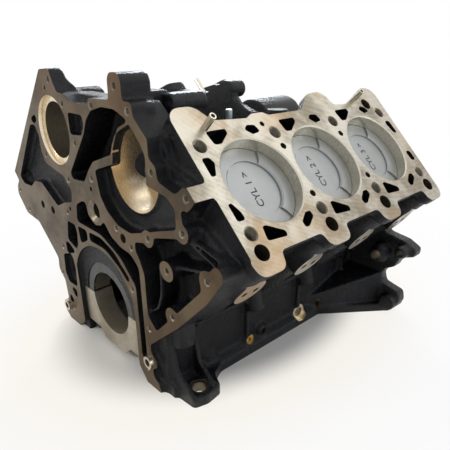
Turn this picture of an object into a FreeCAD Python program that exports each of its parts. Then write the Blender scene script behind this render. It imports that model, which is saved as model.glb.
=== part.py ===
import FreeCAD, Part
import math
import os

# V6 cylinder block with pistons and main caps. Millimetres, +Z up.
# While building, Y runs rearwards from the timing flange and the crank
# axis is x = 0, z = 0. The finished parts are moved forwards so that the
# origin is on the crank axis, at the face of the first bearing web.

BORE = 84.5              # cylinder diameter
PITCH = 92.0             # cylinder spacing along a bank
DECK = 235.0             # crank axis to each deck
FIRST_RIGHT = 80.0       # timing flange to the first right cylinder
BANK_OFFSET = 18.0       # the left bank stands this much further forward
MAIN_BORE = 75.0         # main bearing housing diameter
WEB_RECESS = 6.0         # timing flange to the face of the first web
WEB = 24.0               # thickness of a bearing web
TAIL = 25.0              # last bearing web to the rear face
RAIL_Z = -64.0           # oil pan rail below the crank axis
SKIRT_X = 108.0          # half width of the crankcase
STROKE_TOP = 13.0        # piston crown below the deck
PISTON_GAP = 0.35        # piston to cylinder, on the radius
PISTON_H = 58.0          # crown to skirt end
PIN_DROP = 36.0          # crown to wrist pin axis
PIN_D = 24.0             # wrist pin diameter
HEAD_BOLT = 12.0         # head bolt hole diameter
HEAD_BOLT_V = 42.5       # head bolt rows either side of the cylinder axis
DRAIN_D = 15.0           # oil return hole diameter
BOLT_HOLE = 6.8          # timing cover bolt hole diameter
CAP_BOLT_X = 49.0        # main cap bolts either side of the crank axis

V = FreeCAD.Vector
C45 = math.cos(math.radians(45))
EX, EY, EZ = V(1, 0, 0), V(0, 1, 0), V(0, 0, 1)
BOLT_U = [FIRST_RIGHT + (i - 0.5) * PITCH for i in range(4)]
BORE_U = [FIRST_RIGHT + i * PITCH for i in range(3)]
WEB_Y = [FIRST_RIGHT - BANK_OFFSET / 2 + (i - 0.5) * PITCH for i in range(4)]
CAP_Y = [WEB_RECESS + WEB / 2] + WEB_Y[1:]
REAR = CAP_Y[3] + WEB / 2 + TAIL      # timing flange to the rear face
SIDES = {"right": 1, "left": -1}


def wire(points, place):
    """Closed outline through (a, b) or (a, b, corner radius) points."""
    flat = [V(p[0], p[1], 0) for p in points]
    corners = []
    for i, p in enumerate(flat):
        to_last = flat[i - 1] - p
        to_next = flat[(i + 1) % len(flat)] - p
        radius = points[i][2] if len(points[i]) > 2 else 0
        angle = to_last.getAngle(to_next)
        if radius == 0 or angle > 3.1:
            corners.append([p])
            continue
        reach = min(to_last.Length, to_next.Length) * 0.49
        cut = min(radius / math.tan(angle / 2), reach)
        to_last.normalize()
        to_next.normalize()
        middle = (to_last + to_next).normalize()
        centre = p + middle * (cut / math.cos(angle / 2))
        top = centre - middle * (cut * math.tan(angle / 2))
        corners.append([p + to_last * cut, top, p + to_next * cut])
    edges = []
    for i, corner in enumerate(corners):
        here = [place(q.x, q.y) for q in corner]
        after = corners[(i + 1) % len(corners)][0]
        if len(here) == 3:
            edges.append(Part.Arc(*here).toShape())
        edges.append(Part.makeLine(here[-1], place(after.x, after.y)))
    return Part.Wire(edges)


def solid(points, place, along):
    return Part.Face(wire(points, place)).extrude(along)


def front(points, y0, y1):
    """Outline in x and z, from y0 back to y1."""
    return solid(points, lambda a, b: V(a, y0, b), EY * (y1 - y0))


def level(points, z0, z1):
    """Outline in x and y, from z0 up to z1."""
    return solid(points, lambda a, b: V(a, b, z0), EZ * (z1 - z0))


def rod(at, along, radius, length):
    return Part.makeCylinder(radius, length, at, along)


def box(x0, x1, y0, y1, z0, z1):
    return Part.makeBox(x1 - x0, y1 - y0, z1 - z0, V(x0, y0, z0))


def fuse(shapes):
    return shapes[0].multiFuse(shapes[1:]).removeSplitter()


def normal(side):
    return V(side * C45, 0, C45)


def at_deck(side, u, v, w):
    """u back along the bank, v towards the valley, w out of the deck."""
    if side < 0:
        u = u - BANK_OFFSET
    return V(side * C45 * (DECK + w - v), u, C45 * (DECK + w + v))


def deck_solid(side, points, w0, w1):
    return solid(points, lambda a, b: at_deck(side, a, b, w0), normal(side) * (w1 - w0))


def deck_rod(side, u, v, w0, w1, radius):
    return rod(at_deck(side, u, v, w0), normal(side), radius, w1 - w0)


def mirrored(points):
    return [(-p[0],) + tuple(p[1:]) for p in reversed(points)]


# ------------------------------------------------------------ timing flange
# Edge of the machined face, from the foot of the right leg round by the
# pump volute, the two ears, the left deck and the left lobe.
FLANGE = [
    (62, -50), (78, -64), (103, -64, 2), (98, -56, 6), (89, -47, 4), (89, -39, 2),
    (97, -34, 4), (97, -25, 5), (88, -19, 3), (88, -9, 1), (137, 34, 2), (180, 78, 4),
    (187, 88, 3), (203, 110, 8), (192, 118, 5), (184, 109, 4), (171, 107, 6),
    (173, 87, 4), (138, 51, 3), (101.6, 14, 3), (88, 27, 5), (88, 72, 14), (82, 85, 5),
    (76, 93, 3), (76, 102, 3), (92, 106, 3), (107, 108, 3), (109, 116, 3), (142, 125, 3),
    (152, 124, 2), (152, 141, 4), (150, 151, 3), (166, 158, 5), (168, 166, 4),
    (160, 173, 3), (143, 164, 4), (121, 170, 3), (119, 182, 4), (110, 187, 5),
    (110, 203, 4), (92, 218, 3), (90, 230, 4), (77, 230, 1), (77, 252, 8), (56, 252, 8),
    (55, 229, 1), (18, 228, 2), (15, 222, 1), (-22, 221, 1), (-33, 228, 3), (-48, 229, 4),
    (-55, 240, 4), (-60, 251, 4), (-83, 249.3, 1), (-214.4, 117.9, 2), (-204, 107, 4),
    (-214, 98, 4), (-218, 86, 7), (-196, 63, 6), (-160, 60, 8), (-142, 45, 5),
    (-115, 22, 5), (-118, 6, 6), (-105, -6, 4), (-103, -34, 4), (-119, -42, 6),
    (-119, -55, 6), (-106, -64, 3), (-80, -64, 1), (-62, -50),
]

# Pockets in the flange, each with its depth.
POCKETS = [
    # long pocket beside the pump
    (33, [(-42, 147, 3), (-38, 141, 3), (-12, 143, 5), (0, 157, 4), (12, 168, 3),
          (50, 181, 2), (57, 197, 8), (66, 207, 8), (84, 214, 2), (62, 222, 10),
          (40, 222, 8), (20, 217, 10), (8, 207, 12), (0, 193, 20)]),
    # pump volute
    (12, [(14, 160, 3), (50, 172, 2), (53, 185, 8), (62, 202, 10), (84, 212, 2),
          (98, 199, 6), (105, 188, 8), (105, 170, 5), (103, 163, 2), (132, 159, 5),
          (143, 151, 7), (143, 133, 4), (118, 125, 8), (95, 117, 8), (70, 109, 20),
          (48, 111, 14), (30, 121, 6), (19, 134, 8)]),
    # pocket under the top edge
    (9, [(-29, 211, 3), (1, 211, 3), (2, 201, 5), (-5, 191, 4), (-29, 189, 3)]),
    # chain space over the upper arch, running down into the oil slot
    (33, [(-43, 93, 3), (-39, 112, 6), (-25, 119, 4), (-16, 120, 3), (-13, 106, 6),
          (0, 98.5, 8), (12, 101, 4), (19, 108, 4), (31, 95, 6), (48, 88, 10),
          (66, 86, 8), (79.5, 76, 12), (79.5, -33, 4.5), (70, -33, 4.5), (70, 52, 10),
          (45, 76, 40), (10, 90, 40), (-40, 91, 3)]),
    # crescent between the arches
    (20, [(-18, 85.5, 3), (8, 86, 20), (32, 78, 30), (60, 56, 3), (56, 50.5, 3),
          (40, 63, 20), (15, 75, 30), (-18, 75, 3)]),
    (16, [(-44, 85.5, 2), (-23, 85.5, 2), (-23, 74, 2), (-41, 65, 3)]),
    (16, [(-69, 85, 3), (-51, 85, 3), (-48, 76, 4), (-50, 60, 4), (-56, 53, 2),
          (-76, 60, 3)]),
    (14, [(-84, 54, 2), (-76, 56, 2), (-62, 49, 3), (-64, 45, 2), (-84, 39, 3)]),
    (9, [(-96, 34, 4), (-72, 42, 6), (-67, 25, 6), (-70, -3, 4), (-92, -4, 4),
         (-99, 8, 6)]),
    (12, [(-90, -9, 3), (-74, -9, 3), (-74, -20, 3), (-80, -21, 2)]),
    (12, [(-98, -24, 3), (-92, -24, 2), (-86, -32, 2), (-98, -36, 2)]),
    # hollow in front of the left bank
    (10, [(-198, 113, 4), (-186, 106, 4), (-163, 107, 6), (-148, 117, 8), (-128, 119, 8),
          (-108, 108, 8), (-90, 98, 6), (-72, 106, 4), (-50, 112, 5), (-46, 126, 6),
          (-62, 140, 5), (-105, 147, 5), (-112, 160, 6), (-112, 178, 5), (-120, 189, 4),
          (-133, 187, 5)]),
    (8, [(-130, 194, 2), (-114, 201, 2), (-110, 195, 2), (-118, 190, 2)]),
]

# Space in front of the right bank, inside the diagonal band.
RIGHT_SPACE = [
    (101.6, 14, 3), (138, 51, 3), (173, 87, 4), (171, 107, 4), (184, 109, 3),
    (186, 113, 2), (156, 123, 2), (142, 125, 2), (109, 116, 3), (107, 108, 3), (92, 106, 3),
    (76, 102, 3), (76, 93, 3), (82, 85, 5), (88, 72, 14), (88, 27, 5),
]

# Timing cover bolt bosses: x, z, boss radius (0 where the face is wide).
COVER_BOLTS = [
    (62.5, 45.5, 0), (68, 93.5, 0), (43, 107, 0), (98.5, 112, 8.5), (150.5, 131.5, 8.5),
    (157.5, 163, 9), (111.5, 175.5, 8), (83, 222, 0), (65, 241, 0), (20.5, 221.5, 0),
    (-40, 218, 0), (-65, 240, 0), (-77, 231, 0), (-23, 181, 0), (-101, 157.5, 8),
    (-51, 137.5, 7), (3.5, 149, 0), (-66, 96.5, 6.5), (181, 99, 10), (129.5, 42.5, 10),
    (88.5, 10.5, 0), (125, 88.5, 10), (-94.5, 44.5, 7), (-109.5, 2.5, 0),
    (-109.5, -48.5, 0), (-90, -42, 7), (-208, 92, 0), (-186, 70, 0), (80, -42, 0),
]
PUMP_X, PUMP_Z, PUMP_R = 70.6, 167.3, 39.0
PUMP_BACK = 46.0
CASE_BACK = 37.0
PORT_R = 35.0
PLUG_X, PLUG_Y, PLUG_TOP = 42.0, 236.0, 196.0
PIN_SPOT = (88.0, 112.0)


def timing_case():
    """Front body behind the machined flange, still without its pockets."""
    parts = [front(FLANGE, 0, 14)]
    # behind the thin edges the case is set in a little from the flange
    parts.append(front([(88, -9), (137, 34), (180, 78), (203, 110, 8), (192, 118, 4),
                        (152, 141), (166, 160, 5), (150, 172), (121, 180), (110, 203),
                        (80, 228), (-50, 228), (-83, 240), (-205, 118), (-160, 62, 8),
                        (-112, 22), (-104, -34), (-104, -64), (-80, -64), (-62, -50),
                        (62, -50), (78, -64), (100, -64), (88, -47)], 14, CASE_BACK))
    # the tall ear, its lower shoulder and the left ear run back as ribs
    parts.append(front([(56, 200), (77, 200), (77, 252, 8), (56, 252, 8)], 14, 30))
    parts.append(front([(70, 200), (92, 200), (92, 230, 8), (72, 230, 4)], 14, 24))
    parts.append(front([(-88, 200), (-50, 200), (-52, 235, 4), (-60, 251, 6),
                        (-80, 249, 4)], 14, 46))
    return parts


def case_pockets():
    cuts = [front(points, -1, depth) for depth, points in POCKETS]
    cuts.append(front(RIGHT_SPACE, -1, 26))
    cuts.append(rod(V(-69, -1, 188), EY, PORT_R, 6))
    cuts.append(rod(V(-69, -1, 188), EY, PORT_R - 5, CASE_BACK - 3))
    # front of the crank opening, down to the face of the first web
    cuts.append(rod(V(0, -1, 3), EY, 68, WEB_RECESS + 1).common(
        box(-62.5, 62.5, -2, WEB_RECESS, -66, 80)))
    cuts.append(front([(-79, -66), (79, -66), (62.5, -49), (62.5, 4), (-62.5, 4), (-62.5, -49)],
                      -1, WEB_RECESS))
    return cuts


def case_bosses():
    """What stands in the pockets again: bolt bosses, port ring, thin ribs."""
    parts = []
    for x, z, radius in COVER_BOLTS:
        if radius:
            parts.append(rod(V(x, 0, z), EY, radius, CASE_BACK - 5))
    parts.append(rod(V(0.5, 0, 113.7), EY, 14, CASE_BACK - 3))
    # two thin ribs close the right space towards the deck
    for a, b in (((157, 126), (190, 118)), ((152, 122.5), (184, 112))):
        rib = [(a[0], a[1] - 1.3), (b[0], b[1] - 1.3), (b[0], b[1] + 1.3), (a[0], a[1] + 1.3)]
        parts.append(front(rib, 5, 32))
    # curved rib up to the free boss, and one on to the far lobe
    parts.append(front([(86, 30, 1), (100, 40, 12), (107, 58, 14), (108, 90, 6), (118, 98, 3),
                        (121, 95, 2), (111.5, 88, 8), (110.5, 56, 14), (103, 38, 12),
                        (88, 27, 1)], 3, 32))
    parts.append(front([(132, 95, 1), (172, 103.5, 1), (172, 100, 1), (133, 91, 1)], 6, 32))
    return parts


def deck_outline(first_u):
    points = [(first_u, -64, 1)]
    for u in (35.5, 125.5, 217.5):
        points += [(u - 18, -64, 5), (u - 15, -79.5, 14), (u + 15, -79.5, 14), (u + 18, -64, 5)]
    points += [(292, -64, 5), (295, -79.5, 14), (326, -79.5, 12)]
    points += [(326, 76, 14), (304, 80, 12), (291, 70, 8), (262, 61, 10), (237, 62, 6),
               (230, 82, 16), (203, 80, 16), (182, 62, 10), (131, 62, 3), (126, 66, 4),
               (110, 66, 4), (102, 62, 4), (62, 65, 12), (50, 82, 14), (20, 82, 14)]
    if first_u < 20:
        points += [(20, 62, 2), (first_u, 62, 2)]
    else:
        points += [(20, 40)]
    return points


def bank(side):
    """One bank, solid, with its deck and the columns behind the deck lobes."""
    start = 20 if side > 0 else BANK_OFFSET
    end = 322
    parts = [deck_solid(side, deck_outline(start), -12, 0)]
    wall = [(start, -58, 6), (end, -58, 10), (end, 57, 10), (start, 57, 6)]
    parts.append(deck_solid(side, wall, -170, -6))
    # columns of the oil returns and of the valley side lobes
    for u in (37, 125.5, 217.5, 309):
        parts.append(deck_rod(side, u, -62, -118, -6, 15.5))
    for u, radius in ((37, 15), (217.5, 15), (312, 13)):
        parts.append(deck_rod(side, u, 64, -80, -6, radius))
    # machined pads on the flanks of the columns
    for u in (44, 125.5, 217.5, 300):
        base = at_deck(side, u, -50, -50)
        parts.append(rod(base, V(side * C45, 0, -C45), 17, 28.5))
    return parts


def crankcase():
    """Solid crankcase between the case and the rear flange."""
    s = SKIRT_X
    section = [(118, RAIL_Z), (118, RAIL_Z + 11, 3), (s, RAIL_Z + 17, 4), (s, 18, 14), (62, 88),
               (30, 112, 10), (-30, 112, 10), (-62, 88), (-s, 18, 14), (-s, RAIL_Z + 17, 4),
               (-118, RAIL_Z + 11, 3), (-118, RAIL_Z)]
    parts = [front(section, WEB_RECESS, REAR - 4)]
    # rear flange for the gearbox, with an arm and a foot each side
    half = [(120, RAIL_Z), (178, RAIL_Z, 4), (192, -46, 8), (189, -32, 6), (164, -26, 5),
            (160, -14, 5), (166, -4, 4), (178, 3, 6), (184, 18, 8), (202, 24, 4), (203, 34, 4),
            (187, 42, 6), (160, 46, 6), (152, 62, 10), (118, 118, 20), (70, 168, 10)]
    parts.append(front(half + mirrored(half), REAR - 15, REAR))
    for side in (1, -1):
        # skirt flaring out to the rear flange
        flare = [(side * 100, 245), (side * 118, 248, 10), (side * 178, 325),
                 (side * 178, REAR - 6), (side * 100, REAR - 6)]
        parts.append(level(flare, RAIL_Z, RAIL_Z + 11))
        inner = [(side * 100, 232), (side * 110, 236), (side * 163, 322),
                 (side * 163, REAR - 6), (side * 100, REAR - 6)]
        wedge = level(inner, RAIL_Z, 2)
        slope = Part.makeBox(220, 200, 100, V(-110, 0, 0))
        slope.rotate(V(0, 0, 0), EX, 17)
        slope.translate(V(side * 120, 215, -42))
        parts.append(wedge.cut(slope))
    # foot at the front right corner: plate, two gussets, end wall
    foot = [(95, 0), (112, 9, 6), (143, 11, 4), (147, 26, 8), (144, 46, 6), (126, 54, 10),
            (115, 76, 10), (100, 80)]
    parts.append(level(foot, RAIL_Z, RAIL_Z + 12))
    for y in (10, 38):
        gusset = solid([(100, 0, 1), (112, -3, 8), (118, -34, 10), (145, -53, 2), (145, -58),
                        (100, -60)], lambda a, b, y=y: V(a, y, b), EY * 5)
        parts.append(gusset)
    # the left side has a plain lug in the same place
    parts.append(level([(-95, 20), (-128, 30, 6), (-132, 44, 6), (-112, 62, 8), (-95, 62)],
                       RAIL_Z, RAIL_Z + 14))
    # lower end of the first oil return and two small bosses on the right wall
    parts.append(level([(100, 12), (124, 12, 3), (124, 33, 3), (100, 33)], 2, 40))
    parts.append(rod(V(100, 120, -46), EX, 9, 12))
    parts.append(rod(V(100, 143, -44), EX, 8, 13))
    parts.append(rod(V(100, 64, -48), EX, 8, 12))
    for y in (212, 254):
        parts.append(rod(V(100, y, -48), EX, 11, 12))
    # strengthening ribs down both walls at each bearing web
    for y in WEB_Y[1:]:
        for side in (1, -1):
            rib = [(side * 100, -56), (side * 115, -53, 4), (side * 114, 10, 6), (side * 135, 45),
                   (side * 100, 45)]
            parts.append(front(rib, y - 3, y + 3))
    # long rib along each wall under the bank
    for side in (1, -1):
        parts.append(front([(side * 100, 4), (side * 115, 6, 2), (side * 115, 11, 2),
                            (side * 100, 16)], 40, REAR - 8))
    return parts


def valley():
    """Gallery, lugs and plug seat between the banks."""
    parts = [front([(-26, 100), (26, 100), (24, 132, 10), (-24, 132, 10)], 30, 326)]
    parts.append(rod(V(PLUG_X, PLUG_Y, 100), EZ, 15, PLUG_TOP - 102))
    parts.append(rod(V(-6, 240, 172), EY, 34, 66))
    parts.append(front([(-40, 100), (28, 100), (28, 165), (-40, 165)], 242, 304))
    # gusset and lugs behind the ears
    parts.append(level([(46, 34), (69, 34), (69, 54), (46, 54)], 100, 235))
    parts.append(level([(57, 50), (66, 50), (66, 66), (57, 66)], 100, 230))
    parts.append(rod(V(77, 46, 223), EY, 10.5, 40))
    parts.append(level([(68, 44), (86, 44), (86, 84), (68, 84)], 130, 223))
    parts.append(rod(V(-106, 40, 210), EY, 17, 40))
    # cross wall with its rounded lug
    parts.append(front([(-118, 100), (-118, 205), (-36, 222, 10), (12, 222, 6), (20, 231, 5),
                        (30, 231, 4), (38, 237, 6), (50, 235, 6), (52, 216, 6), (84, 206, 4),
                        (84, 100)], 150, 160))
    parts.append(rod(V(43, 150, 227), EY, 9, 22))
    parts.append(rod(V(PIN_SPOT[0], PIN_SPOT[1], 150), EZ, 8, 48))
    return parts


WINDOWS_TOP = [(48, 54, 2), (69, 54, 3), (69, 50, 2.5), (57, 42, 3), (50, 42, 2.5)]
WINDOWS_TOP_SMALL = [(92, 51, 2), (97, 54, 2), (105, 53, 2), (108, 46, 2), (98, 45.5, 2)]
WINDOWS_LOW = [(47, -52, 2), (49, -41, 2.5), (53, -41, 2), (69, -50, 2.5), (68, -54, 2)]
WINDOWS_SLOT = [(94.5, -53, 3), (94.5, -48.5, 2), (104, -42, 2.5), (109, -42, 3),
                (109, -46.5, 3), (98.5, -53.5, 2.5)]
END_WINDOWS = [
    [(29, 13.5, 2), (33, 13.5, 2), (38, 25, 3), (36, 30, 3), (29, 30, 2)],
    [(29, -29, 2), (37, -29, 2), (36, -23, 3), (32, -13.5, 2.5), (29, -14, 2)],
    [(308.5, 26, 3), (311, 29, 3), (317, 28, 3), (318, 13, 2.5), (313, 13, 3)],
    [(310, -15, 3), (318, -15, 3), (318, -26, 3), (312, -26, 3)],
]


def deck_cuts(side):
    """Cylinders, head bolt holes, oil returns and coolant windows."""
    cuts = []
    for u in BORE_U:
        cuts.append(deck_rod(side, u, 0, -180, 2, BORE / 2))
        cuts.append(Part.makeCone(BORE / 2, BORE / 2 + 1.2, 1.2, at_deck(side, u, 0, -1.2),
                                  normal(side)))
    for u in BOLT_U:
        for v in (-HEAD_BOLT_V, HEAD_BOLT_V):
            shallow = side > 0 and u == BOLT_U[0] and v > 0
            cuts.append(deck_rod(side, u, v, -30 if shallow else -85, 1, HEAD_BOLT / 2))
        cuts.append(deck_rod(side, u, -60, -108 if u == BOLT_U[0] else -165, 1, DRAIN_D / 2))
    for u in BOLT_U[1:3]:
        for v in (-26.6, 26.6):
            cuts.append(deck_rod(side, u, v, -22, 1, 3.4))
    cuts.append(deck_rod(side, 295, 56.5, -60, 1, 7))
    cuts.append(deck_rod(side, 116.4, 53.5, -30, 1, 2.8))
    for u, v in ((48, 58), (272, 63)):
        cuts.append(deck_rod(side, u, v, -9, 1, 3.2))
    shapes = list(END_WINDOWS)
    for i in range(3):
        for window in (WINDOWS_TOP, WINDOWS_TOP_SMALL, WINDOWS_LOW, WINDOWS_SLOT):
            shapes.append([(p[0] + i * PITCH, p[1], p[2]) for p in window])
    for shape in shapes:
        cuts.append(deck_solid(side, shape, -30, 1))
    return cuts


def water_jacket(side):
    """Hollow round the three cylinders, left solid at the head bolts."""
    jacket = deck_solid(side, [(34, -52, 8), (314, -52, 8), (314, 52, 8), (34, 52, 8)], -82, -14)
    keep = [deck_rod(side, u, 0, -83, -13, BORE / 2 + 5.5) for u in BORE_U]
    keep.append(rod(V(PUMP_X, 0, PUMP_Z), EY, PUMP_R + 5, PUMP_BACK + 15))
    for u in BOLT_U:
        for v in (-46, 46):
            keep.append(deck_rod(side, u, v, -83, -13, 12))
    return jacket.cut(keep)


def block_cuts():
    cuts = []
    # crank bore through all the webs, and the rear seal opening
    cuts.append(rod(V(0, -1, 0), EY, MAIN_BORE / 2, REAR - 4))
    cuts.append(rod(V(0, REAR - 24, 0), EY, 56, 30))
    # the three bays, the space behind the last web and the cap seats
    edges = [y + d for y in CAP_Y for d in (-WEB / 2, WEB / 2)]
    bays = list(zip(edges[1::2], edges[2::2] + [REAR - 16]))
    for y0, y1 in bays:
        bay = [(100, RAIL_Z - 1), (100, 30, 20), (58, 74, 20), (22, 96, 16), (-22, 96, 16),
               (-58, 74, 20), (-100, 30, 20), (-100, RAIL_Z - 1)]
        cuts.append(front(bay, y0, y1))
    cuts.append(box(-62, 62, WEB_RECESS - 7, REAR - 16, RAIL_Z - 1, 0))
    # cover bolt holes, dowels, ports
    for x, z, radius in COVER_BOLTS:
        cuts.append(rod(V(x, -1, z), EY, BOLT_HOLE / 2, 21))
        cuts.append(Part.makeCone(BOLT_HOLE / 2 + 1.6, BOLT_HOLE / 2, 1.6, V(x, -0.01, z), EY))
    for x, z, radius, depth in ((-136, 89, 5, 24), (-107, 88.5, 5, 24), (0.5, 138, 2.5, 12),
                                (-57, 102.5, 2.5, 16), (55, 99.5, 5, 14), (86.5, -30, 7, 12),
                                (-101, -41, 7, 12), (0.5, 113.7, 8, 60), (56, 209, 2.6, 60)):
        cuts.append(rod(V(x, -1, z), EY, radius, depth))
    cuts.append(Part.makeCone(12, 8, 4, V(0.5, -0.01, 113.7), EY))
    # pump bore, its back space and the port in its wall
    cuts.append(rod(V(PUMP_X, 10, PUMP_Z), EY, PUMP_R, PUMP_BACK - 10))
    cuts.append(rod(V(PUMP_X, 10, PUMP_Z), EY, 30, PUMP_BACK + 10))
    cuts.append(rod(V(PUMP_X, 48, 161), -EX, 13, 70))
    # foot hole and gearbox flange holes
    cuts.append(rod(V(131.5, 27, RAIL_Z - 1), EZ, 7.5, 30))
    for side in (1, -1):
        cuts.append(rod(V(side * 161, REAR - 30, 21), EY, 7, 40))
        cuts.append(rod(V(side * 189, REAR - 30, 30), EY, 4.5, 40))
        cuts.append(rod(V(side * 178, REAR - 30, -48), EY, 6, 40))
        cuts.append(rod(V(side * 112, REAR - 30, 108), EY, 6, 40))
        # pan rail bolt holes
        for y in (66, 112, 158, 204, 250, 296):
            cuts.append(rod(V(side * 109, y, RAIL_Z - 1), EZ, 3.4, 9))
        # slots in the pads beside the oil returns
        for u in (44, 125.5, 217.5, 300):
            for du in (-7, 7):
                hole = at_deck(side, u + du, -79, -50)
                cuts.append(rod(hole, V(-side * C45, 0, C45), 3, 8))
        # cap bolt holes
        for y in CAP_Y:
            cuts.append(rod(V(side * CAP_BOLT_X, y, -1), EZ, 5.5, 45))
    # seats of the plugs
    cuts.append(rod(V(113, 120, -46), -EX, 6, 9))
    cuts.append(rod(V(114, 143, -44), -EX, 4, 12))
    for y in (212, 254):
        cuts.append(rod(V(113, y, -48), -EX, 7.5, 11))
    cuts.append(rod(V(PLUG_X, PLUG_Y, PLUG_TOP), -EZ, 12, 8))
    cuts.append(rod(V(PIN_SPOT[0], PIN_SPOT[1], 199), -EZ, 3.2, 8))
    return cuts


def cylinder_block():
    parts = timing_case() + crankcase() + valley()
    for side in SIDES.values():
        parts += bank(side)
    # bridge from the right deck to the timing flange
    parts.append(deck_solid(1, [(0, -4.5), (22, -4.5), (22, 9), (0, 9)], -16, 0))
    body = fuse(parts).cut(case_pockets())
    body = fuse([body] + case_bosses())
    body = body.cut(block_cuts())
    for side in SIDES.values():
        body = body.cut(deck_cuts(side))
        body = body.cut(water_jacket(side))
    return body


def main_cap(y):
    """Bearing cap: deep centre, bolt seats beside it, machined all over."""
    half = [(0, -58), (22, -58, 8), (34, -46, 4), (61.7, -46, 5), (61.7, 0)]
    left = [(-p[0],) + tuple(p[1:]) for p in reversed(half[1:])]
    cap = front(half[1:] + left, y - WEB / 2, y + WEB / 2)
    cuts = [rod(V(0, y - 20, 0), EY, MAIN_BORE / 2, 40)]
    for x in (-CAP_BOLT_X, CAP_BOLT_X):
        cuts.append(rod(V(x, y, -60), EZ, 5.5, 60))
    return cap.cut(cuts)


def main_cap_bolts(y):
    bolts = []
    for x in (-CAP_BOLT_X, CAP_BOLT_X):
        shank = rod(V(x, y, -46), EZ, 5.4, 76)
        washer = rod(V(x, y, -49), EZ, 10.5, 3)
        hexagon = [V(x + 9 * math.cos(math.radians(60 * k)), y + 9 * math.sin(math.radians(60 * k)),
                     -57) for k in range(7)]
        head = Part.Face(Part.makePolygon(hexagon)).extrude(EZ * 8)
        bolts.append(fuse([shank, washer, head]))
    return Part.makeCompound(bolts)


def to_bank(shape, side, u):
    """Move a shape made on the Z axis, crown at 0, into a cylinder."""
    turn = FreeCAD.Rotation(EY, side * 45)
    spot = at_deck(side, u, 0, -STROKE_TOP)
    shape.Placement = FreeCAD.Placement(spot, turn)
    return shape


def piston_shape():
    radius = BORE / 2 - PISTON_GAP
    wall = radius - 5.5
    # dished crown, three ring grooves and the hollow underneath, turned
    profile = [(0, -3.2), (28.5, -3.2), (28.5, -1.6), (30.1, 0), (radius, 0)]
    for top, height, depth in ((-7, 1.5, 3.6), (-13.5, 1.5, 3.6), (-19.5, 2.5, 3.4)):
        profile += [(radius, top), (radius - depth, top), (radius - depth, top - height),
                    (radius, top - height)]
    profile += [(radius, -PISTON_H), (wall, -PISTON_H), (wall, -10), (0, -10), (0, -3.2)]
    face = Part.Face(Part.makePolygon([V(x, 0, z) for x, z in profile]))
    body = face.revolve(V(0, 0, 0), EZ, 360)
    inside = rod(V(0, 0, -PISTON_H), EZ, wall + 1, PISTON_H - 9)
    bosses = []
    for s in (1, -1):
        y0, y1 = sorted((s * 14, s * 40))
        bosses.append(inside.common(box(-13, 13, y0, y1, -PIN_DROP - 17, -9)))
    body = fuse([body] + bosses)
    cuts = []
    # valve reliefs, inlet towards the valley, exhaust towards the outside
    cuts.append(rod(V(-38, 0, -1.8), EZ, 25, 3))
    cuts.append(rod(V(42, 0, -1.8), EZ, 22, 3))
    # the skirt stands back over the pin bosses
    for s in (1, -1):
        y0, y1 = sorted((s * 33, s * 50))
        cuts.append(box(-50, 50, y0, y1, -PISTON_H - 1, -26))
    cuts.append(rod(V(0, -50, -PIN_DROP), EY, PIN_D / 2, 100))
    return body.cut(cuts)


def ring_set():
    rings = []
    outer = BORE / 2 - 0.06
    inner = BORE / 2 - PISTON_GAP - 3.2
    for i, (top, height) in enumerate(((-7.1, 1.4), (-13.6, 1.4), (-19.6, 2.4))):
        ring = rod(V(0, 0, top - height), EZ, outer, height)
        gap = box(0, 50, -0.4, 0.4, top - height - 1, top + 1)
        gap.rotate(V(0, 0, 0), EZ, 40 + 120 * i)
        rings.append(ring.cut([rod(V(0, 0, top - height - 1), EZ, inner, height + 2), gap]))
    return Part.makeCompound(rings)


def wrist_pin():
    pin = rod(V(0, -29, -PIN_DROP), EY, PIN_D / 2, 58)
    return pin.cut(rod(V(0, -30, -PIN_DROP), EY, PIN_D / 2 - 5, 60))


def deck_pins(side):
    pins = []
    for u, v in ((48, 58), (272, 63)):
        pin = deck_rod(side, u, v, -9, 17, 3.2)
        pins.append(pin.cut(deck_rod(side, u, v, -10, 18, 2)))
    return Part.makeCompound(pins)


def sleeve(at, along, outer, inner, length):
    return rod(at, along, outer, length).cut(rod(at - along, along, inner, length + 2))


def socket_plug(at, along, radius, length):
    """Plug with a hexagon socket, its face at the given point."""
    body = rod(at - along * length, along, radius, length)
    turn = FreeCAD.Rotation(EZ, along)
    ring = [V(radius * 0.52 * math.cos(math.radians(60 * k)),
              radius * 0.52 * math.sin(math.radians(60 * k)), 0) for k in range(7)]
    socket = Part.Face(Part.makePolygon(ring)).extrude(EZ * (length * 0.6 + 1))
    socket.Placement = FreeCAD.Placement(at - along * (length * 0.6), turn)
    return body.cut(socket)


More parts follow.
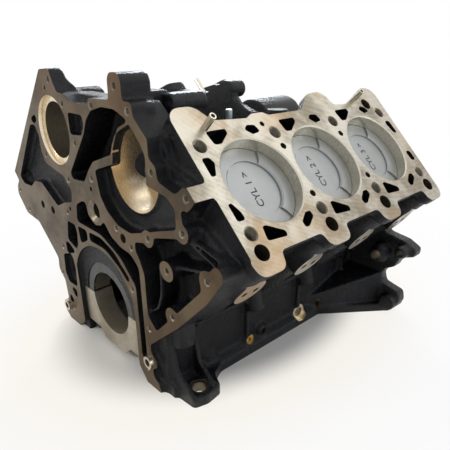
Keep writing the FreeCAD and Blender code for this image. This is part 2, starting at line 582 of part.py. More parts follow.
def build():
    nodes = {"cylinder_block": cylinder_block()}
    for i, y in enumerate(CAP_Y):
        nodes["main_cap_%d" % (i + 1)] = main_cap(y)
        nodes["main_cap_bolts_%d" % (i + 1)] = main_cap_bolts(y)
    number = 1
    for side in SIDES.values():
        for u in BORE_U:
            nodes["piston_%d" % number] = to_bank(piston_shape(), side, u)
            nodes["piston_rings_%d" % number] = to_bank(ring_set(), side, u)
            nodes["wrist_pin_%d" % number] = to_bank(wrist_pin(), side, u)
            number += 1
    nodes["deck_pins_right"] = deck_pins(1)
    nodes["deck_pins_left"] = deck_pins(-1)
    nodes["front_dowels"] = Part.makeCompound([
        sleeve(V(86.5, -5, -30), EY, 7, 4.2, 15), sleeve(V(-101, -5, -41), EY, 7, 4.2, 15)])
    nodes["side_plug"] = socket_plug(V(113.5, 120, -46), EX, 6, 9)
    nodes["gallery_plugs"] = Part.makeCompound(
        [socket_plug(V(109, y, -48), EX, 7.5, 7) for y in (212, 254)])
    cup = rod(V(PLUG_X, PLUG_Y, PLUG_TOP - 8), EZ, 12, 10)
    nodes["valley_plug"] = cup.cut(rod(V(PLUG_X, PLUG_Y, PLUG_TOP - 1), EZ, 10.4, 4))
    nodes["valley_pin"] = sleeve(V(PIN_SPOT[0], PIN_SPOT[1], 191), EZ, 3.2, 1.6, 23)
    return nodes


def main():
    os.makedirs("parts", exist_ok=True)
    for name, shape in build().items():
        shape.translate(V(0, -WEB_RECESS, 0))
        shape.exportStep("parts/%s.step" % name)
        print(name, shape.isValid(), len(shape.Solids), round(shape.Volume / 1000, 1))


main()
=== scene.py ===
import math
import bpy
import bmesh
from mathutils import Matrix, Vector


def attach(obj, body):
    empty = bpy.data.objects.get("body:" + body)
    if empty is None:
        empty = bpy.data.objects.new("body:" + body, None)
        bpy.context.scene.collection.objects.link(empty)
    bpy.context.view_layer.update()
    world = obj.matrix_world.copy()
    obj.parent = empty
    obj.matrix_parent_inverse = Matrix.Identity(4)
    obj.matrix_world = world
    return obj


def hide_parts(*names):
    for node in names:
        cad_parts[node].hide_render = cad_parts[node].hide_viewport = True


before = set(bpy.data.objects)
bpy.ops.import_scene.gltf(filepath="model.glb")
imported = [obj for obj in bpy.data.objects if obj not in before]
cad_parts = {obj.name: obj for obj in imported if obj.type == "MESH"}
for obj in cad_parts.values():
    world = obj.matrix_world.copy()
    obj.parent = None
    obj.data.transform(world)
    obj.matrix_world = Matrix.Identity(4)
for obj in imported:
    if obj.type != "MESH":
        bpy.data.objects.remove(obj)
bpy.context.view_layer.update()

# ---------------------------------------------------------------- block
# One grey iron casting, sand cast and painted black, then milled on its
# two decks, both ends and the pan rail, and bored and drilled from there.
C45 = math.sqrt(0.5)            # cosine of half the angle between the banks
# the milled planes, in metres from the crank axis and the first web
DECK = 0.235
FRONT = -0.006
REAR = 0.332
RAIL = -0.064
SPARE = 0.003                   # metal left on every plane for the mill
ON_PLANE = 2e-5                 # a corner this near a plane belongs to it
BANK_START = {1: -6, -1: -24}   # mm, the left bank stands further forward
DECK_OF = {1: Vector((C45, 0, C45)), -1: Vector((-C45, 0, C45))}


def mm(x, y, z):
    """A spot in metres, given in millimetres."""
    return Vector((x, y, z)) / 1000


def on_deck(side, u, v, w):
    """Millimetres back along a bank, towards the valley and out of its deck."""
    high = DECK * 1000 + w
    return mm(side * C45 * (high - v), u + BANK_START[side], C45 * (high + v))


def turned(shell, at, along, profile, steps):
    """Closed round body: profile is (radius, distance along) in mm."""
    along = Vector(along).normalized()
    turn = along.to_track_quat("Z", "Y").to_matrix().to_4x4()
    place = Matrix.Translation(at) @ turn
    rings = []
    for radius, reach in profile:
        ring = []
        for i in range(steps):
            a = 2 * math.pi * (i + 0.5) / steps
            spot = mm(radius * math.cos(a), radius * math.sin(a), reach)
            ring.append(shell.verts.new(place @ spot))
        rings.append(ring)
    shell.faces.new(rings[0][::-1])
    shell.faces.new(rings[-1])
    for low, high in zip(rings, rings[1:]):
        for i in range(steps):
            j = (i + 1) % steps
            shell.faces.new((low[i], low[j], high[j], high[i]))


def prism(shell, outline, along):
    """Closed body with flat ends: outline in mm, pushed along a vector."""
    low = [shell.verts.new(Vector(p) / 1000) for p in outline]
    high = [shell.verts.new((Vector(p) + Vector(along)) / 1000) for p in outline]
    faces = [shell.faces.new(low[::-1]), shell.faces.new(high)]
    for i in range(len(low)):
        j = (i + 1) % len(low)
        faces.append(shell.faces.new((low[i], low[j], high[j], high[i])))
    bmesh.ops.recalc_face_normals(shell, faces=faces)


def body_from(shell, name):
    mesh = bpy.data.meshes.new(name)
    shell.to_mesh(mesh)
    shell.free()
    made = bpy.data.objects.new(name, mesh)
    bpy.context.scene.collection.objects.link(made)
    return made


def apply(piece, kind, **settings):
    step = piece.modifiers.new(kind.lower(), kind)
    for key, value in settings.items():
        setattr(step, key, value)
    with bpy.context.temp_override(object=piece, active_object=piece):
        bpy.ops.object.modifier_apply(modifier=step.name)


class Finish:
    """A material, built up node by node round one Principled shader."""

    def __init__(self, name):
        self.material = bpy.data.materials.new(name)
        self.material.use_nodes = True
        self.tree = self.material.node_tree
        self.shader = self.tree.nodes["Principled BSDF"]
        self.place = self.node("ShaderNodeTexCoord").outputs["Object"]

    def node(self, kind, settings=None, **sockets):
        made = self.tree.nodes.new(kind)
        for key, value in (settings or {}).items():
            setattr(made, key, value)
        for key, value in sockets.items():
            self.feed(made.inputs[int(key[1:]) if key[1:].isdigit() else key], value)
        return made

    def feed(self, socket, value):
        if isinstance(value, Level):
            value = value.socket
        if isinstance(value, bpy.types.NodeSocket):
            self.tree.links.new(value, socket)
        else:
            socket.default_value = value

    def set(self, name, value):
        self.feed(self.shader.inputs[name], value)

    def level(self, node, output=0):
        return Level(self, node.outputs[output])

    def noise(self, scale, detail=3.0, rough=0.55, place=None):
        made = self.node("ShaderNodeTexNoise", None, Vector=place or self.place,
                         Scale=scale, Detail=detail, Roughness=rough)
        return self.level(made)

    def stretched(self, scale):
        return self.node("ShaderNodeMapping", None, Vector=self.place, Scale=scale).outputs[0]

    def mix(self, amount, first, second):
        made = self.node("ShaderNodeMix", {"data_type": "RGBA"}, _0=amount, _6=first, _7=second)
        return made.outputs[2]

    def bump(self, height, depth):
        made = self.node("ShaderNodeBump", None, Height=height, Distance=depth, Strength=1.0)
        self.set("Normal", made.outputs[0])


class Level:
    """A number that changes over a surface, to be used in plain sums."""

    def __init__(self, finish, socket):
        self.finish, self.socket = finish, socket

    def sum(self, operation, first, second=0.0):
        made = self.finish.node("ShaderNodeMath", {"operation": operation}, _0=first, _1=second)
        return Level(self.finish, made.outputs[0])

    def __add__(self, other):
        return self.sum("ADD", self, other)

    def __radd__(self, other):
        return self.sum("ADD", other, self)

    def __sub__(self, other):
        return self.sum("SUBTRACT", self, other)

    def __rsub__(self, other):
        return self.sum("SUBTRACT", other, self)

    def __mul__(self, other):
        return self.sum("MULTIPLY", self, other)

    def __rmul__(self, other):
        return self.sum("MULTIPLY", other, self)

    def wave(self):
        return self.sum("SINE", self)

    def most(self, other):
        return self.sum("MAXIMUM", self, other)

    def ramp(self, low, high):
        """0 below low, 1 above high, eased between."""
        made = self.finish.node("ShaderNodeMapRange", {"interpolation_type": "SMOOTHSTEP"},
                                Value=self, _1=low, _2=high)
        return Level(self.finish, made.outputs[0])


# black enamel over the sand-cast skin
enamel = Finish("black_enamel_casting")
skin = enamel.noise(420, 4, 0.6)
peel = enamel.noise(1500, 2, 0.5)
dust = enamel.noise(26, 5, 0.62).ramp(0.46, 0.72)
enamel.set("Base Color", enamel.mix(dust, (0.0042, 0.0047, 0.006, 1), (0.01, 0.011, 0.0145, 1)))
enamel.set("Roughness", enamel.noise(60, 3).ramp(0.3, 0.7) * 0.1 + 0.19)
enamel.set("Specular IOR Level", 0.22)
enamel.bump(skin * 0.9 + peel * 0.6, 0.001)


BRONZE = (0.85, 0.6, 0.37, 1)   # what a bronze stain leaves of a colour


def milled(name, pale, dark, centre, pitch, rough, metallic=0.7, bronzed=0.0):
    """Face-milled iron: arcs left by the cutter, stains and a soft shine."""
    metal = Finish(name)
    spot = metal.node("ShaderNodeVectorMath", {"operation": "DISTANCE"}, _0=metal.place, _1=centre)
    arcs = (metal.level(spot, "Value") * (2 * math.pi / pitch) + metal.noise(9) * 3).wave()
    stain = metal.noise(16, 6, 0.65).ramp(0.38, 0.66)
    fine = metal.noise(2600, 3, 0.6)
    streak = metal.noise(1, 3, 0.6, metal.stretched((2600, 90, 2600)))
    shade = (stain * 0.7 + arcs * 0.05 + fine * 0.15 + streak * 0.12).ramp(0.05, 1.0)
    tinted = metal.mix(shade, pale, dark)
    rust = metal.noise(9, 4, 0.55).ramp(0.42, 0.66) * bronzed
    metal.set("Base Color", metal.mix(rust, tinted, [c * k for c, k in zip(pale, BRONZE)]))
    metal.set("Metallic", metallic)
    metal.set("Roughness", fine * 0.14 + stain * 0.1 + rough)
    metal.bump(arcs * 0.5 + fine * 0.5, 0.00008)
    return metal


# the decks are fresh and pale; the timing face carries a bronze stain, and its dark tone and
# the middling tone of the ends, rail and cap seats are painted shade
deck_iron = milled("milled_deck", (0.52, 0.49, 0.42, 1), (0.2, 0.17, 0.122, 1),
                   (0.5, 0.3, 0.9), 0.0021, 0.24, 0.85, 0.75)
shaded_case_iron = milled("milled_timing_face_shaded", (0.125, 0.088, 0.046, 1), (0.048, 0.033, 0.017, 1),
                   (0.6, -0.1, 0.9), 0.0026, 0.27, 0.85, 0.6)
shaded_end_iron = milled("milled_ends_shaded", (0.33, 0.31, 0.265, 1), (0.2, 0.175, 0.135, 1),
                  (0.6, -0.1, 0.9), 0.0026, 0.32)


def bored(name, pale, dark, rough):
    """Turned or honed wall: fine rings and a quiet shine."""
    metal = Finish(name)
    rings = metal.noise(1, 2, 0.5, metal.stretched((220, 2600, 220)))
    cloud = metal.noise(45, 4)
    metal.set("Base Color", metal.mix((rings * 0.6 + cloud * 0.4).ramp(0.3, 0.7), pale, dark))
    metal.set("Metallic", 0.85)
    metal.set("Roughness", rings * 0.15 + rough)
    metal.bump(rings, 0.00005)
    return metal


honed_iron = bored("honed_cylinder", (0.72, 0.68, 0.57, 1), (0.5, 0.465, 0.37, 1), 0.22)
turned_iron = bored("turned_bore", (0.9, 0.8, 0.62, 1), (0.68, 0.56, 0.39, 1), 0.2)
housing_iron = bored("bearing_housing", (0.34, 0.31, 0.26, 1), (0.22, 0.2, 0.16, 1), 0.25)
thrust_iron = bored("thrust_face", (0.09, 0.09, 0.09, 1), (0.05, 0.05, 0.05, 1), 0.3)
drilled_iron = bored("drilled_hole", (0.26, 0.225, 0.17, 1), (0.12, 0.1, 0.07, 1), 0.25)

# what is cut into the block, all in millimetres
TIMING_Y, REAR_Y, RAIL_Z = FRONT * 1000, REAR * 1000, RAIL * 1000
CYLINDER_R = 42.25
PITCH = 92                      # cylinder to cylinder along a bank
FIRST = 80                      # start of a bank to its first cylinder
HEAD_THREAD_R = 6
HEAD_BOLT_V = 42.5              # rows of head bolts beside the cylinders
COVER_THREAD_R = 3.0
# tapped holes of the timing cover, (x, z)
COVER_HOLES = [
    (62.5, 45.5), (68, 93.5), (43, 107), (98.5, 112), (150.5, 131.5), (157.5, 163),
    (111.5, 175.5), (83, 222), (65, 241), (20.5, 221.5), (-40, 218), (-65, 240), (-77, 231),
    (-23, 181), (-101, 157.5), (-51, 137.5), (3.5, 149), (-66, 96.5), (181, 99), (129.5, 42.5),
    (88.5, 10.5), (125, 88.5), (-94.5, 44.5), (-109.5, 2.5), (-109.5, -48.5), (-90, -42),
    (-208, 92), (-186, 70), (80, -42),
]
BACK, AHEAD, UP, DOWN, IN = (0, 1, 0), (0, -1, 0), (0, 0, 1), (0, 0, -1), (-1, 0, 0)

# every drilling: where, which way, profile of (radius, depth) from the face
drills = []
for x, z in COVER_HOLES:
    drills.append((mm(x, TIMING_Y, z), BACK,
                   [(3.9, -2), (3.9, 0), (COVER_THREAD_R, 1), (COVER_THREAD_R, 20)]))
# dowel holes and oil ways in the timing face
for x, z, r, deep in ((-136, 89, 5, 23), (-107, 88.5, 5, 23), (0.5, 138, 2.5, 11),
                      (-57, 102.5, 2.5, 15), (55, 99.5, 5, 13), (86.5, -30, 7, 11),
                      (-101, -41, 7, 11)):
    drills.append((mm(x, TIMING_Y, z), BACK, [(r, -2), (r, deep)]))
drills.append((mm(0.5, TIMING_Y, 113.7), BACK, [(12, -2), (12, 0), (8, 4), (8, 59)]))
# bolt hole of the front foot, seats of the plug and the pin in the valley
drills.append((mm(131.5, 21, -52), DOWN, [(11, -4), (11, 0), (7.5, 0.5), (7.5, 14)]))
drills.append((mm(42, 230, 196), DOWN, [(12, -4), (12, 8)]))
drills.append((mm(88, 106, 198), DOWN, [(3.2, -3), (3.2, 8)]))
# plug seats in the right wall
for y, z, r, deep in ((114, -46, 6, 8), (137, -44, 4, 11), (206, -48, 6.5, 10),
                      (248, -48, 6.5, 10)):
    drills.append((mm(112, y, z), IN, [(r, -4), (r, deep)]))
# bolt holes of the gearbox flange and the pan rail
for side in (1, -1):
    for x, z, r, deep in ((161, 21, 7, 40), (189, 30, 4.5, 34), (178, -48, 6, 12),
                          (112, 108, 6, 40)):
        drills.append((mm(side * x, REAR_Y, z), AHEAD, [(r, -2), (r, deep)]))
    for y in (60, 106, 152, 198, 244, 290):
        drills.append((mm(side * 109, y, RAIL_Z), UP, [(3.4, -2), (3.4, 8)]))
# in the decks: head bolts, oil returns, coolant holes and oil ways
for side, out in DECK_OF.items():
    for i in range(4):
        u = FIRST - PITCH / 2 + PITCH * i
        for v in (-HEAD_BOLT_V, HEAD_BOLT_V):
            # the one beside the pump bore has to stay short
            deep = 30 if side > 0 and i == 0 and v > 0 else 85
            drills.append((on_deck(side, u, v, 0), -out,
                           [(6.9, -2), (6.9, 0), (HEAD_THREAD_R, 0.9), (HEAD_THREAD_R, deep)]))
        drills.append((on_deck(side, u, -60, 0), -out, [(7.5, -2), (7.5, 108 if i == 0 else 165)]))
    for u in (126, 218):
        for v in (-26.6, 26.6):
            drills.append((on_deck(side, u, v, 0), -out, [(3.4, -2), (3.4, 21)]))
    drills.append((on_deck(side, 295, 56.5, 0), -out, [(7, -2), (7, 59)]))
    drills.append((on_deck(side, 116.4, 53.5, 0), -out, [(2.8, -2), (2.8, 29)]))

# wider cuts, which also say how deep the casting is filled beforehand:
# cylinders, pump bore and the bore beside it, spot faces round two plugs
bores = []
for side, out in DECK_OF.items():
    for i in range(3):
        bores.append((on_deck(side, FIRST + PITCH * i, 0, 0), -out,
                      [(CYLINDER_R + 1.2, -2), (CYLINDER_R + 1.2, 0), (CYLINDER_R, 1.2),
                       (CYLINDER_R, 180)], 100))
ports = [(mm(70.6, 6, 167.3), BACK, [(39, -4), (39, 34)], 34),
         (mm(-69, TIMING_Y, 188), BACK, [(36.5, -2), (36.5, 0), (35, 2), (35, 5)], 5)]
wells = [(mm(-69, TIMING_Y, 188), BACK, [(30, 0), (30, 33)], 33)]
rings = [(mm(112, y, -48), IN, [(10.6, -6), (10.6, 0.6)], 0) for y in (206, 248)]


def rounded(points):
    """Outline through (a, b, corner radius), with short chords for arcs."""
    outline = []
    for i, (a, b, radius) in enumerate(points):
        here = Vector((a, b))
        back = Vector(points[i - 1][:2]) - here
        ahead = Vector(points[(i + 1) % len(points)][:2]) - here
        half = back.angle(ahead) / 2
        reach = min(radius / math.tan(half), back.length * 0.45, ahead.length * 0.45)
        start, end = here + back.normalized() * reach, here + ahead.normalized() * reach
        for k in range(5):
            t = k / 4
            outline.append(start * (1 - t) ** 2 + here * 2 * t * (1 - t) + end * t ** 2)
    return outline


# cast coolant windows in a deck, u back and v towards the valley
WINDOWS = [[(28, 13, 3), (33, 13, 3), (39, 25, 4), (36, 31, 4), (28, 31, 3)],
           [(28, -30, 3), (37, -30, 3), (36.5, -23, 3), (32, -13, 3), (28, -13.5, 3)],
           [(308, 26, 4), (311, 30, 4), (318, 29, 4), (319, 12, 3), (312.5, 12.5, 3)],
           [(309.5, -14, 4), (319, -14, 4), (319, -27, 4), (311.5, -27, 4)]]
for i in range(3):
    for window in (((47, 55, 3), (70, 55, 4), (70, 50, 3.5), (57.5, 41, 4), (49.5, 41, 3.5)),
                   ((91, 51, 3), (97, 55, 3), (106, 54, 3), (109, 46, 3), (98, 44.5, 3)),
                   ((46, -53, 3), (48.5, -40, 3.5), (53, -40, 3), (70, -50, 3.5), (69, -55, 3)),
                   ((93.5, -54, 4), (93.5, -48, 3), (103, -41, 4), (110, -41, 4), (110, -47, 4),
                    (99, -54, 3))):
        # the last one gives way to the passage beside the rear cylinder
        WINDOWS.append([(min(u + PITCH * i, 285) if v > 0 else u + PITCH * i, v, r)
                        for u, v, r in window])

# the rough casting: spare metal on the milled planes, holes filled
blank = bmesh.new()
blank.from_mesh(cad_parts["cylinder_block"].data)
bmesh.ops.remove_doubles(blank, verts=blank.verts, dist=1e-5)
PLANES = [(Vector((0, -1, 0)), -FRONT), (Vector((0, 1, 0)), REAR), (Vector((0, 0, -1)), -RAIL),
          (DECK_OF[1], DECK), (DECK_OF[-1], DECK)]
for out, reach in PLANES:
    for vert in blank.verts:
        if abs(vert.co.dot(out) - reach) < ON_PLANE:
            vert.co += out * SPARE
# bosses round the gearbox bolt holes, cast on behind the flange
for side in (1, -1):
    for x, z, r, front in ((161, 21, 13, 300), (189, 30, 9, 305), (178, -48, 12, 308),
                           (112, 108, 12, 300)):
        turned(blank, mm(side * x, front, z), BACK, [(r - 1, 0), (r, 30)], steps=32)
# machined pads on the flanks of the oil return columns
PADS = [(side, u, Vector((side * 0.81, 0, -0.586))) for side in (1, -1)
        for u in (44, 125.5, 217.5, 300)]
PAD_V, PAD_W = -77, -50
for side, u, out in PADS:
    turned(blank, on_deck(side, u, PAD_V, PAD_W), out, [(17, -22), (17, 4)], steps=40)
# lower ends of the oil returns, standing out of the crankcase wall
for side, y in ((1, 16), (1, 119), (1, 211), (-1, 101), (-1, 193)):
    turned(blank, mm(side * 107, y, 34), (side * 0.24, 0, -0.97),
           [(9, 0), (11.5, 6), (11.5, 40)], steps=40)
# a little spare on the first web, in metres, to turn the thrust ring from
WEB_SPARE, WEB_HALF, WEB_TOP = 0.0012, 0.0626, 0.072
for vert in blank.verts:
    if abs(vert.co.y) < ON_PLANE and abs(vert.co.x) < WEB_HALF and vert.co.z < WEB_TOP:
        vert.co.y -= WEB_SPARE
# every hole is filled here, so that it can be drilled clean later: a plug
# laps its hole all round, and stands out as far as the spare metal
DRILL_LAP, BORE_LAP, STANDS_OUT, SHORT_OF_END = 1.4, 1.5, 3, 4
for at, along, profile in drills:
    radius = profile[-1][0] + DRILL_LAP
    turned(blank, at, along, [(radius, -STANDS_OUT), (radius, profile[-1][1] - SHORT_OF_END)],
           steps=20)
for at, along, profile, deep in bores + ports + wells:
    radius = profile[-2][0] + BORE_LAP
    turned(blank, at, along, [(radius, -STANDS_OUT), (radius, deep)], steps=64)
casting = body_from(blank, "block_casting")
casting.data.materials.append(enamel.material)


def machine(operation, metals, shell):
    """Cut the casting with a closed body, and give the cut its own finish."""
    tool = body_from(shell, "tool")
    for metal in metals:
        tool.data.materials.append(metal.material)
    apply(casting, "BOOLEAN", operation=operation, solver="MANIFOLD", object=tool,
          material_mode="TRANSFER")
    bpy.data.objects.remove(tool)


# the left ear is thin behind its face and falls away in a curve
fettle = bmesh.new()
prism(fettle, [(-96, 7, 262), (-96, 60, 262), (-96, 60, 214), (-96, 36, 222), (-96, 20, 230),
               (-96, 11, 240)], (52, 0, 0))
machine("DIFFERENCE", [enamel], fettle)
# the sand grain sets how soft the cast edges come out
GRAIN = 0.0016
CAST_TRIANGLES = 150000
apply(casting, "REMESH", mode="VOXEL", voxel_size=GRAIN)
apply(casting, "SMOOTH", factor=0.5, iterations=5)
apply(casting, "DECIMATE", ratio=min(1.0, CAST_TRIANGLES / (2 * len(casting.data.polygons))))

# planes first: decks, timing face, rear and rail in one setting each
mill = bmesh.new()
WIDE = 300                      # well past the block on either side
apex = DECK / C45 * 1000
prism(mill, [(-WIDE, TIMING_Y, RAIL_Z), (WIDE, TIMING_Y, RAIL_Z), (WIDE, TIMING_Y, apex - WIDE),
             (0, TIMING_Y, apex), (-WIDE, TIMING_Y, apex - WIDE)], (0, REAR_Y - TIMING_Y, 0))
# each face takes its finish by which way it points: painted shade on the timing face, rear and
# rail
for face in mill.faces:
    facing = face.normal
    face.material_index = 0 if facing.z > 0.5 else 1 if facing.y < -0.5 else 2
machine("INTERSECT", [deck_iron, shaded_case_iron, shaded_end_iron], mill)
# thrust ring round the crank bore, cap seats, housings and rear seal bore
MAIN_R, SEAL_R, THRUST_R = 37.5, 56, 50
mill = bmesh.new()
turned(mill, mm(0, 0, 0), BACK, [(THRUST_R, -5.9), (THRUST_R, 0)], steps=96)
machine("DIFFERENCE", [thrust_iron], mill)
# the cap seats take the ends' darker tone, painted shade
mill = bmesh.new()
prism(mill, [(-62, -0.3, -70), (62, -0.3, -70), (62, -0.3, 0), (-62, -0.3, 0)], (0, 316.3, 0))
machine("DIFFERENCE", [shaded_end_iron], mill)
for profile in ([(MAIN_R, -10), (MAIN_R, 333)], [(SEAL_R, 308), (SEAL_R, 340)]):
    mill = bmesh.new()
    turned(mill, mm(0, 0, 0), BACK, profile, steps=96)
    machine("DIFFERENCE", [housing_iron], mill)
# pads on the flanks of the oil return columns
mill = bmesh.new()
for side, u, out in PADS:
    turned(mill, on_deck(side, u, PAD_V, PAD_W), out, [(23, 1.5), (23, 12)], steps=40)
machine("DIFFERENCE", [deck_iron], mill)
# the deep part of the bore beside the pump bore takes the dark housing finish: painted shade
for metal, holes in ((honed_iron, bores), (turned_iron, ports + rings), (housing_iron, wells)):
    mill = bmesh.new()
    for at, along, profile, deep in holes:
        turned(mill, at, along, profile, steps=96)
    machine("DIFFERENCE", [metal], mill)
mill = bmesh.new()
for at, along, profile in drills:
    turned(mill, at, along, profile, steps=28)
machine("DIFFERENCE", [drilled_iron], mill)
# as cast: port in the wall of the pump bore, slots in the pads and the
# coolant windows, which start 2 mm above the deck and go 14 mm into it
mill = bmesh.new()
turned(mill, Vector((0.0706, 0.042, 0.161)), IN, [(13, 0), (13, 68)], steps=40)
for side, u, out in PADS:
    for shift in (-7, 7):
        turned(mill, on_deck(side, u + shift, PAD_V, PAD_W), -out, [(3.2, -4), (3.2, 9)],
               steps=20)
for side, out in DECK_OF.items():
    for window in WINDOWS:
        prism(mill, [on_deck(side, u, v, 2) * 1000 for u, v in rounded(window)], -out * 16)
machine("DIFFERENCE", [enamel], mill)
SHARP_FROM = 38                 # degrees between two faces
casting.data.shade_smooth()
casting.data.set_sharp_from_angle(angle=math.radians(SHARP_FROM))
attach(casting, "block")
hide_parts("cylinder_block")

# ---------------------------------------------------------------- threads
# Threads of the tapped holes for the timing cover and the head bolts.
# One coil is laid into each hole and turned to the way the tap went in.
THREAD_PITCH = 0.3              # turn to turn, for a hole of radius 1
THREAD_CREST = 0.4              # size of the ridge, for a pitch of 1
THREAD_TURNS = 7.0
THREAD_START = 0.8              # below the face, mm
tree = bpy.data.node_groups.new("tapped_threads", "GeometryNodeTree")
for label, kind in (("Holes", "Geometry"), ("Pitch", "Float"), ("Turns", "Float"),
                    ("Metal", "Material")):
    tree.interface.new_socket(label, in_out="INPUT", socket_type="NodeSocket" + kind)
tree.interface.new_socket("Threads", in_out="OUTPUT", socket_type="NodeSocketGeometry")


def place(kind, settings=None, **sockets):
    """One node of the thread tree, with its inputs fed by name."""
    made = tree.nodes.new(kind)
    for key, value in (settings or {}).items():
        setattr(made, key, value)
    for key, value in sockets.items():
        socket = made.inputs[int(key[1:]) if key[1:].isdigit() else key.replace("_", " ")]
        if isinstance(value, bpy.types.Node):
            value = value.outputs[0]
        if isinstance(value, bpy.types.NodeSocket):
            tree.links.new(value, socket)
        else:
            socket.default_value = value
    return made


def settled(maker, name, metal):
    """What an object makes, kept as a plain mesh of one metal."""
    bpy.context.view_layer.update()
    mesh = bpy.data.meshes.new_from_object(maker.evaluated_get(
        bpy.context.evaluated_depsgraph_get()))
    mesh.transform(maker.matrix_world)
    bpy.data.objects.remove(maker)
    mesh.materials.clear()
    mesh.materials.append(metal.material)
    made = bpy.data.objects.new(name, mesh)
    bpy.context.scene.collection.objects.link(made)
    return made


given = place("NodeGroupInput").outputs
rise = place("ShaderNodeMath", {"operation": "MULTIPLY"}, _0=given["Pitch"], _1=given["Turns"])
crest = place("ShaderNodeMath", {"operation": "MULTIPLY"}, _0=given["Pitch"],
              _1=THREAD_CREST)
helix = place("GeometryNodeCurveSpiral", Resolution=20, Rotations=given["Turns"],
              Start_Radius=1.0, End_Radius=1.0, Height=rise)
ridge = place("GeometryNodeCurvePrimitiveCircle", Resolution=3, Radius=crest)
coil = place("GeometryNodeCurveToMesh", Curve=helix, Profile_Curve=ridge, Fill_Caps=True)
way = place("GeometryNodeInputNamedAttribute", {"data_type": "FLOAT_VECTOR"}, Name="way")
width = place("GeometryNodeInputNamedAttribute", {"data_type": "FLOAT"}, Name="width")
facing = place("FunctionNodeAlignRotationToVector", {"axis": "Z"}, Vector=way)
laid = place("GeometryNodeInstanceOnPoints", Points=given["Holes"], Instance=coil,
             Rotation=facing, Scale=width)
solid = place("GeometryNodeRealizeInstances", Geometry=laid)
cut = place("GeometryNodeSetMaterial", Geometry=solid, Material=given["Metal"])
place("NodeGroupOutput", Threads=cut)

cut_thread = bored("cut_thread", (0.42, 0.385, 0.32, 1), (0.15, 0.13, 0.1, 1), 0.18)
tapped = [(at, Vector(along), profile[2][0]) for at, along, profile in drills
          if len(profile) == 4 and profile[2][0] in (COVER_THREAD_R, HEAD_THREAD_R)]
spots = bpy.data.meshes.new("tapped_holes")
spots.from_pydata([at + along * (THREAD_START / 1000) for at, along, radius in tapped], [], [])
spots.attributes.new("way", "FLOAT_VECTOR", "POINT")
spots.attributes.new("width", "FLOAT", "POINT")
for i, (at, along, radius) in enumerate(tapped):
    spots.attributes["way"].data[i].vector = along
    spots.attributes["width"].data[i].value = radius / 1000
spots = bpy.data.objects.new("tapped_holes", spots)
bpy.context.scene.collection.objects.link(spots)
step = spots.modifiers.new("threads", "NODES")
step.node_group = tree
for label, value in (("Pitch", THREAD_PITCH), ("Turns", THREAD_TURNS),
                     ("Metal", cut_thread.material)):
    step[tree.interface.items_tree[label].identifier] = value
threads = settled(spots, "hole_threads", cut_thread)
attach(threads, "block")

# ---------------------------------------------------------------- bearing caps
# Four iron caps, machined all over, which close the housings from below.
# Each is held against its web by two dark steel bolts with washers.
cap_iron = milled("cap_iron", (0.52, 0.47, 0.39, 1), (0.3, 0.255, 0.185, 1), (0.4, 0.1, -0.5),
                  0.0017, 0.28)


def plain(name, colour, metallic, grain, uneven, rough):
    """One even colour, with a shine that varies a little from spot to spot."""
    metal = Finish(name)
    metal.set("Base Color", colour)
    metal.set("Metallic", metallic)
    metal.set("Roughness", metal.noise(grain) * uneven + rough)
    return metal


black_oxide = plain("black_oxide_steel", (0.05, 0.048, 0.046, 1), 0.8, 300, 0.3, 0.2)

# ---------------------------------------------------------------- pistons
# Six alloy pistons, turned on the crown, with steel rings in their grooves.
# A hollow steel pin is pushed through each from the side.
piston_alloy = Finish("turned_alloy")
piston_alloy.set("Base Color", piston_alloy.mix(piston_alloy.noise(40, 4), (0.42, 0.43, 0.43, 1),
                                                (0.3, 0.31, 0.31, 1)))
piston_alloy.set("Metallic", 0.6)
piston_alloy.set("Roughness", piston_alloy.noise(700) * 0.2 + 0.32)
ring_steel = Finish("ring_steel")
ring_steel.set("Base Color", (0.16, 0.16, 0.17, 1))
ring_steel.set("Metallic", 0.9)
ring_steel.set("Roughness", 0.35)

# cylinder number and front arrow, stamped dark on each crown
CROWN_DROP = 16.17              # dish of the crown below the deck, mm
MARK_AHEAD = 2                  # of the cylinder's axis, mm
ink = Finish("stamped_mark")
ink.set("Base Color", (0.03, 0.03, 0.032, 1))
ink.set("Roughness", 0.6)
for i in range(6):
    side = 1 if i < 3 else -1
    words = bpy.data.curves.new("mark", "FONT")
    words.body = "CYL %d >" % (i + 1)
    words.size = 0.0108
    words.offset = 0.00014
    words.align_x = words.align_y = "CENTER"
    words.extrude = 0.00004
    stamp = bpy.data.objects.new("stamp", words)
    bpy.context.scene.collection.objects.link(stamp)
    out = DECK_OF[side]
    along = Vector((-side * C45, 0, C45))
    across = out.cross(along)
    spot = on_deck(side, FIRST - MARK_AHEAD + PITCH * (i % 3), 0, -CROWN_DROP)
    stamp.matrix_world = Matrix.Translation(spot) @ Matrix(
        (along, across, out)).transposed().to_4x4()
    mark = settled(stamp, "crown_mark_%d" % (i + 1), ink)
    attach(mark, "piston_body_%d" % (i + 1))

# ---------------------------------------------------------------- small parts
# Ground steel wrist pins, dowels and gallery plugs, a brass plug in the wall,
# and a zinc plated plug and pin in the valley, pressed or screwed in.
ground_steel = plain("ground_steel", (0.6, 0.55, 0.45, 1), 0.95, 900, 0.2, 0.18)
brass = plain("brass_plug", (0.78, 0.56, 0.18, 1), 0.95, 500, 0.2, 0.22)
zinc = plain("zinc_plate", (0.72, 0.77, 0.78, 1), 0.9, 500, 0.2, 0.25)
# the longer names stand first, as the first match is taken
FINISH_OF = {"main_cap_bolts": black_oxide, "main_cap": cap_iron, "piston_rings": ring_steel,
             "piston": piston_alloy, "wrist_pin": ground_steel, "deck_pins": ground_steel,
             "front_dowels": ground_steel, "side_plug": brass, "gallery_plugs": ground_steel,
             "valley_plug": zinc, "valley_pin": zinc}
for name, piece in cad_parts.items():
    for start, finish in FINISH_OF.items():
        if name.startswith(start):
            piece.data.materials.clear()
            piece.data.materials.append(finish.material)
            break
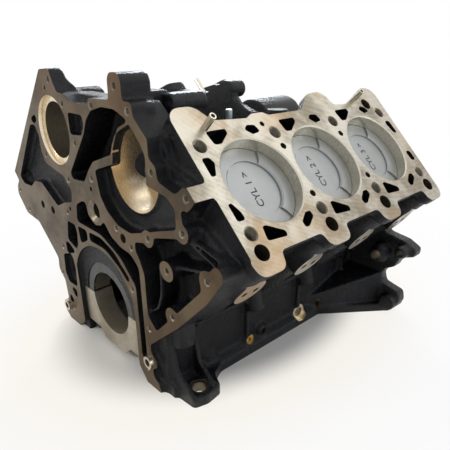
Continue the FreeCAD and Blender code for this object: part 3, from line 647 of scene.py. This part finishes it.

# ---------------------------------------------------------------- studio
# Pale floor, white surroundings and soft lamps round the block. The floor
# glows white where it is seen, and cream further in, painted warm shade, except
# right round the block, which keeps a shadow.
floor = bmesh.new()
bmesh.ops.create_grid(floor, x_segments=1, y_segments=1, size=6,
                      matrix=Matrix.Translation((0, 0, RAIL)))
ground = body_from(floor, "studio_floor")
cream = Finish("pale_floor")
cream.set("Base Color", (0.9, 0.885, 0.85, 1))
cream.set("Roughness", 0.6)
cream.set("Specular IOR Level", 0.2)
rays = cream.node("ShaderNodeLightPath")
seen = cream.level(rays, "Is Camera Ray")
for other in ("Is Glossy Ray", "Is Transmission Ray"):
    seen = seen.most(cream.level(rays, other))
away = cream.level(cream.node("ShaderNodeVectorMath", {"operation": "LENGTH"},
                              _0=cream.node("ShaderNodeMapping", None, Vector=cream.place,
                                            Location=(0, -0.73, 0),
                                            Scale=(6, 4.5, 1)).outputs[0]), "Value")
# near the block the glow turns cream: painted warm shade round it
glow = cream.node("ShaderNodeEmission", None, Strength=1.0, Color=cream.mix(
    away.ramp(1.0, 1.75), (0.99, 0.955, 0.89, 1), (1, 1, 1, 1)))
lit = cream.node("ShaderNodeMixShader", None, _1=cream.shader.outputs[0], _2=glow.outputs[0],
                 _0=seen * (away.ramp(0.8, 1.12) * 0.88 + away.ramp(1.8, 5) * 0.12))
cream.tree.links.new(lit.outputs[0], cream.tree.nodes["Material Output"].inputs[0])
ground.data.materials.append(cream.material)

# the world lights the block pale blue, but looks white itself
world = bpy.data.worlds.new("studio")
bpy.context.scene.world = world
world.use_nodes = True
sky = world.node_tree
sky.nodes["Background"].inputs["Color"].default_value = (0.93, 0.96, 1.0, 1)
sky.nodes["Background"].inputs["Strength"].default_value = 0.5
white = sky.nodes.new("ShaderNodeBackground")
white.inputs["Color"].default_value = (1, 1, 1, 1)
path = sky.nodes.new("ShaderNodeLightPath")
seen = sky.nodes.new("ShaderNodeMath")
either = sky.nodes.new("ShaderNodeMath")
seen.operation = either.operation = "MAXIMUM"
blend = sky.nodes.new("ShaderNodeMixShader")
sky.links.new(path.outputs["Is Camera Ray"], seen.inputs[0])
sky.links.new(path.outputs["Is Transmission Ray"], seen.inputs[1])
sky.links.new(path.outputs["Is Glossy Ray"], either.inputs[0])
sky.links.new(seen.outputs[0], either.inputs[1])
sky.links.new(either.outputs[0], blend.inputs[0])
sky.links.new(sky.nodes["Background"].outputs[0], blend.inputs[1])
sky.links.new(white.outputs[0], blend.inputs[2])
sky.links.new(blend.outputs[0], sky.nodes["World Output"].inputs[0])

# every lamp looks at the middle of the block
centre = Vector((0.03, 0.13, 0.09))
for name, at, size, power, tint in (
        ("overhead", (0.45, 0.7, 1.2), 1.1, 3.6, (1, 0.985, 0.95)),
        ("back_left", (-1.2, 1.25, 0.9), 0.35, 17, (0.84, 0.92, 1)),
        ("front_left", (-0.7, -1.2, 0.9), 0.45, 9, (1, 0.95, 0.88)),
        ("back_right", (1.3, 0.9, 0.5), 0.5, 5, (0.93, 0.96, 1))):
    lamp = bpy.data.lights.new(name, "AREA")
    lamp.size = size
    lamp.energy = power
    lamp.color = tint
    holder = bpy.data.objects.new(name, lamp)
    bpy.context.scene.collection.objects.link(holder)
    holder.location = at
    holder.rotation_euler = (centre - Vector(at)).to_track_quat("-Z", "Y").to_euler()

lens = bpy.data.cameras.new("camera")
lens.lens = 37.63
lens.shift_x = -0.0023
lens.shift_y = 0.0678
camera = bpy.data.objects.new("camera", lens)
bpy.context.scene.collection.objects.link(camera)
right = Vector((0.68, 0.733, -0.007)).normalized()
look = Vector((-0.669, 0.616, -0.417)).normalized()
up = right.cross(look).normalized()
right = look.cross(up)
camera.matrix_world = Matrix.Translation((0.4365, -0.2204, 0.2756)) @ Matrix(
    (right, up, -look)).transposed().to_4x4()
bpy.context.scene.camera = camera
bpy.context.scene.view_settings.view_transform = "Standard"
